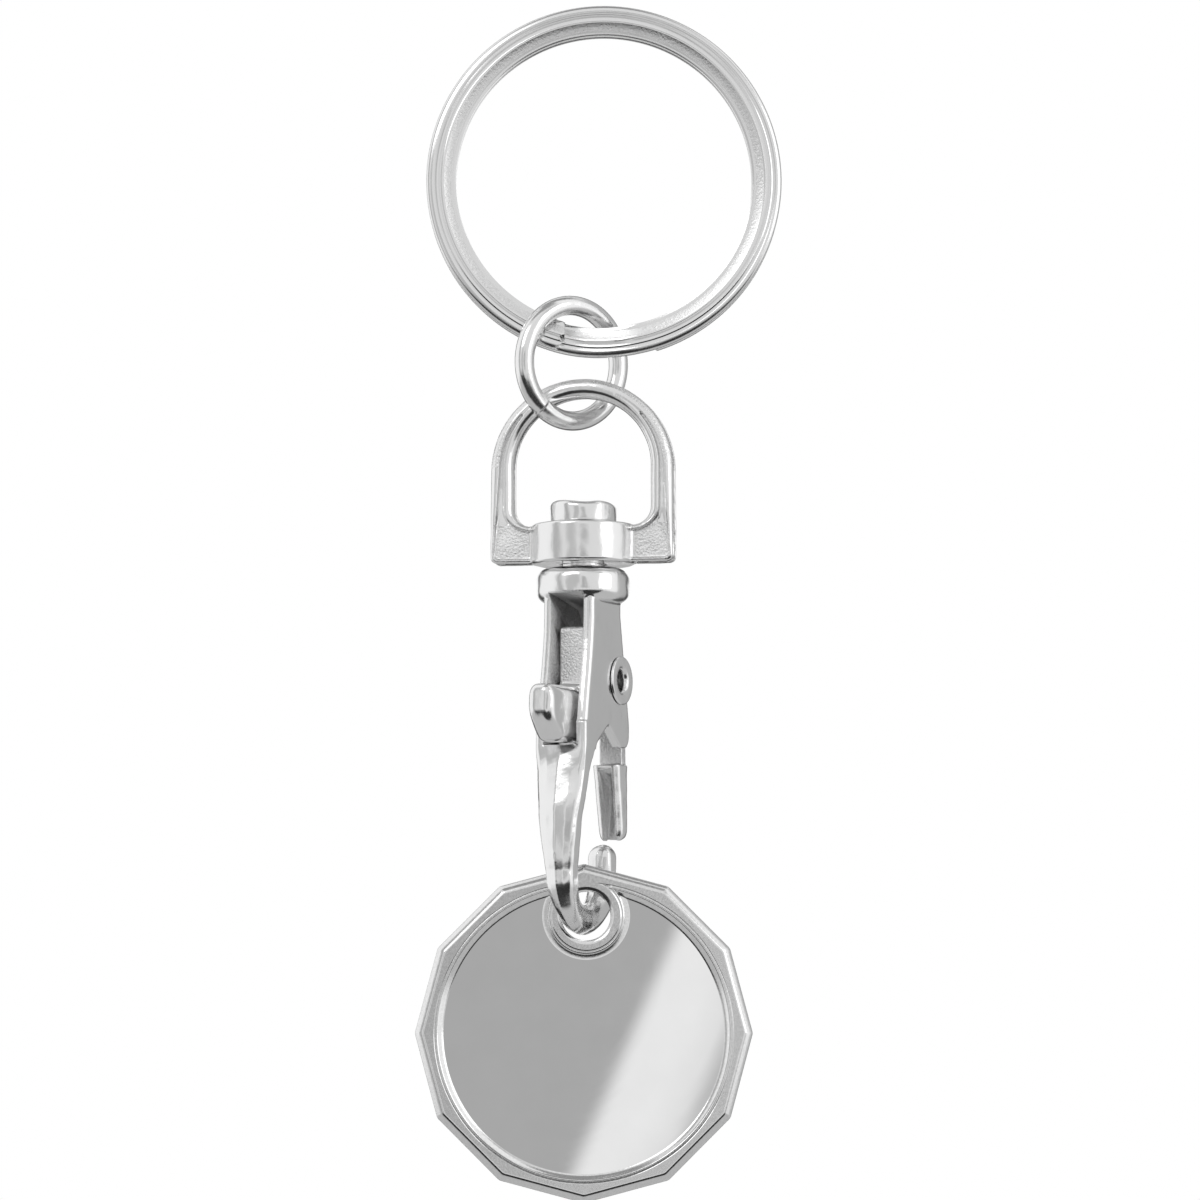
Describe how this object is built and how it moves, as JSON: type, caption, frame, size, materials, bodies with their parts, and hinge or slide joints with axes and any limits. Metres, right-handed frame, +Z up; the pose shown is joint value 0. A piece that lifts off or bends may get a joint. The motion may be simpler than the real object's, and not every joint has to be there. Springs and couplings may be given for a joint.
{
  "type": "trolley-token keyring",
  "caption": "Split ring, jump ring and swivel lobster clasp with a sprung gate, holding a flat many-sided shopping-trolley token by its hole.",
  "frame": {"origin": "the hang point: top of the split ring's inner edge, midway between its two turns", "axes": "+Z up along the hanging chain, +X across the split ring to the right, +Y from the front of the ring to its back"},
  "size_m": [0.0256, 0.0125, 0.084],
  "materials": {
    "drawn_steel": "nickel plate over drawn flat wire",
    "plated_wire": "bright nickel plate",
    "plated_zinc": "bright nickel plate over a zinc casting",
    "plated_rivet": "bright nickel plate",
    "spring_steel": "bare spring wire",
    "polished_token": "mirror-polished plate"
  },
  "bodies": {
    "split_ring": {"split_ring": "drawn_steel"},
    "jump_ring": {"jump_ring": "plated_wire"},
    "swivel_eye": {"swivel_eye": "plated_zinc"},
    "clasp": {"hook_body": "plated_zinc", "pivot_rivet": "plated_rivet", "gate_spring": "spring_steel"},
    "gate": {"gate_lever": "plated_zinc"},
    "token": {"token": "polished_token"}
  },
  "joints": [
    {"name": "jump_ring_swing", "type": "hinge", "parent": "split_ring", "child": "jump_ring", "pos_m": [-0.00227, 0, -0.02162], "axis": [1, 0, 0], "range_deg": [-5, 40]},
    {"name": "eye_swing", "type": "hinge", "parent": "jump_ring", "child": "swivel_eye", "pos_m": [-0.00145, 0, -0.03064], "axis": [0.1736, 0.9848, 0], "range_deg": [-45, 45]},
    {"name": "swivel_turn", "type": "hinge", "parent": "swivel_eye", "child": "clasp", "pos_m": [-0.00145, 0, -0.03782], "axis": [0, 0, 1], "continuous": true},
    {"name": "gate_open", "type": "hinge", "parent": "clasp", "child": "gate", "pos_m": [-0.00063, 0.00176, -0.04557], "axis": [-0.9063, 0.4226, 0], "range_deg": [0, 24], "stiffness_Nm_per_rad": 0.03, "springref_deg": -17.19, "deforming": ["gate_spring"]},
    {"name": "token_swing", "type": "hinge", "parent": "clasp", "child": "token", "pos_m": [-0.00125, 0.00008, -0.06205], "axis": [-0.0175, 0.9998, 0], "range_deg": [-45, 45]}
  ]
}
